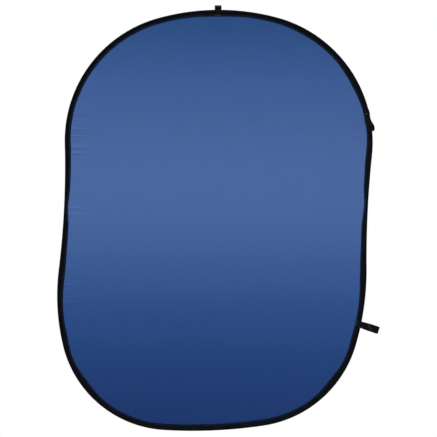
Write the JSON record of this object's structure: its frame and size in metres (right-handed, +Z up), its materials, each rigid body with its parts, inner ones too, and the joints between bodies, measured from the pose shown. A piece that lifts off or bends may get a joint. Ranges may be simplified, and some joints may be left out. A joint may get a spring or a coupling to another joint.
{
  "type": "collapsible backdrop panel",
  "caption": "Pop-up oval backdrop panel of blue cloth on a black-bound spring-steel band, with webbing loops to hang and tie it; it folds on its middle.",
  "frame": {"origin": "seat of the top hanging loop, where a hook bears, in the panel's middle plane", "axes": "+Z up, the panel's long way; -Y towards the front of the cloth; +X to the right seen from the front"},
  "size_m": [1.534, 0.0273, 2.0253],
  "materials": {
    "backdrop_cloth": "matt woven blue cloth, same on both faces",
    "binding_tape": "black ribbed binding tape, folded",
    "webbing": "black flat woven webbing",
    "thread": "black polyester thread",
    "spring_steel": "hardened and tempered strip",
    "ferrule_steel": "crimped zinc-plated sheet"
  },
  "bodies": {
    "upper_lobe": {"upper_band": "spring_steel", "upper_binding": "binding_tape", "upper_cloth": "backdrop_cloth", "upper_stitching": "thread", "band_ferrule": "ferrule_steel", "top_loop_tail": "webbing", "top_loop_tacks": "thread", "upper_side_loop_tail": "webbing", "upper_side_loop_tacks": "thread"},
    "strip_1": {"strip_1_band_left": "spring_steel", "strip_1_band_right": "spring_steel", "strip_1_binding_left": "binding_tape", "strip_1_binding_right": "binding_tape", "strip_1_cloth": "backdrop_cloth", "strip_1_stitching": "thread"},
    "strip_2": {"strip_2_band_left": "spring_steel", "strip_2_band_right": "spring_steel", "strip_2_binding_left": "binding_tape", "strip_2_binding_right": "binding_tape", "strip_2_cloth": "backdrop_cloth", "strip_2_stitching": "thread"},
    "strip_3": {"strip_3_band_left": "spring_steel", "strip_3_band_right": "spring_steel", "strip_3_binding_left": "binding_tape", "strip_3_binding_right": "binding_tape", "strip_3_cloth": "backdrop_cloth", "strip_3_stitching": "thread"},
    "strip_4": {"strip_4_band_left": "spring_steel", "strip_4_band_right": "spring_steel", "strip_4_binding_left": "binding_tape", "strip_4_binding_right": "binding_tape", "strip_4_cloth": "backdrop_cloth", "strip_4_stitching": "thread"},
    "strip_5": {"strip_5_band_left": "spring_steel", "strip_5_band_right": "spring_steel", "strip_5_binding_left": "binding_tape", "strip_5_binding_right": "binding_tape", "strip_5_cloth": "backdrop_cloth", "strip_5_stitching": "thread"},
    "lower_lobe": {"lower_band": "spring_steel", "lower_binding": "binding_tape", "lower_cloth": "backdrop_cloth", "lower_stitching": "thread", "lower_side_loop_tail": "webbing", "lower_side_loop_tacks": "thread"},
    "top_loop": {"top_loop": "webbing"},
    "upper_side_loop": {"upper_side_loop": "webbing"},
    "lower_side_loop": {"lower_side_loop": "webbing"}
  },
  "joints": [
    {"name": "fold_1", "type": "hinge", "parent": "upper_lobe", "child": "strip_1", "pos_m": [0, 0, -0.772], "axis": [-1, 0, 0], "range_deg": [-30, 30], "stiffness_Nm_per_rad": 0.8},
    {"name": "fold_2", "type": "hinge", "parent": "strip_1", "child": "strip_2", "pos_m": [0, 0, -0.872], "axis": [-1, 0, 0], "range_deg": [-30, 30], "stiffness_Nm_per_rad": 0.8},
    {"name": "fold_3", "type": "hinge", "parent": "strip_2", "child": "strip_3", "pos_m": [0, 0, -0.972], "axis": [-1, 0, 0], "range_deg": [-30, 30], "stiffness_Nm_per_rad": 0.8},
    {"name": "fold_4", "type": "hinge", "parent": "strip_3", "child": "strip_4", "pos_m": [0, 0, -1.072], "axis": [-1, 0, 0], "range_deg": [-30, 30], "stiffness_Nm_per_rad": 0.8},
    {"name": "fold_5", "type": "hinge", "parent": "strip_4", "child": "strip_5", "pos_m": [0, 0, -1.172], "axis": [-1, 0, 0], "range_deg": [-30, 30], "stiffness_Nm_per_rad": 0.8},
    {"name": "fold_6", "type": "hinge", "parent": "strip_5", "child": "lower_lobe", "pos_m": [0, 0, -1.272], "axis": [-1, 0, 0], "range_deg": [-30, 30], "stiffness_Nm_per_rad": 0.8},
    {"name": "top_loop_bend", "type": "hinge", "parent": "upper_lobe", "child": "top_loop", "pos_m": [0, 0, -0.016], "axis": [1, 0, 0], "range_deg": [-60, 60], "stiffness_Nm_per_rad": 0.004},
    {"name": "upper_side_loop_swing", "type": "hinge", "parent": "upper_lobe", "child": "upper_side_loop", "pos_m": [0.70275, -0.0097, -0.52607], "axis": [-0.9336, 0, -0.3584], "range_deg": [0, 150]},
    {"name": "lower_side_loop_swing", "type": "hinge", "parent": "lower_lobe", "child": "lower_side_loop", "pos_m": [0.68312, -0.0079, -1.52253], "axis": [-0.309, 0, -0.9511], "range_deg": [-80, 80]}
  ],
  "couplings": [
    {"joint": "fold_2", "follows": "fold_1", "ratio": 1},
    {"joint": "fold_3", "follows": "fold_1", "ratio": 1},
    {"joint": "fold_4", "follows": "fold_1", "ratio": 1},
    {"joint": "fold_5", "follows": "fold_1", "ratio": 1},
    {"joint": "fold_6", "follows": "fold_1", "ratio": 1}
  ]
}
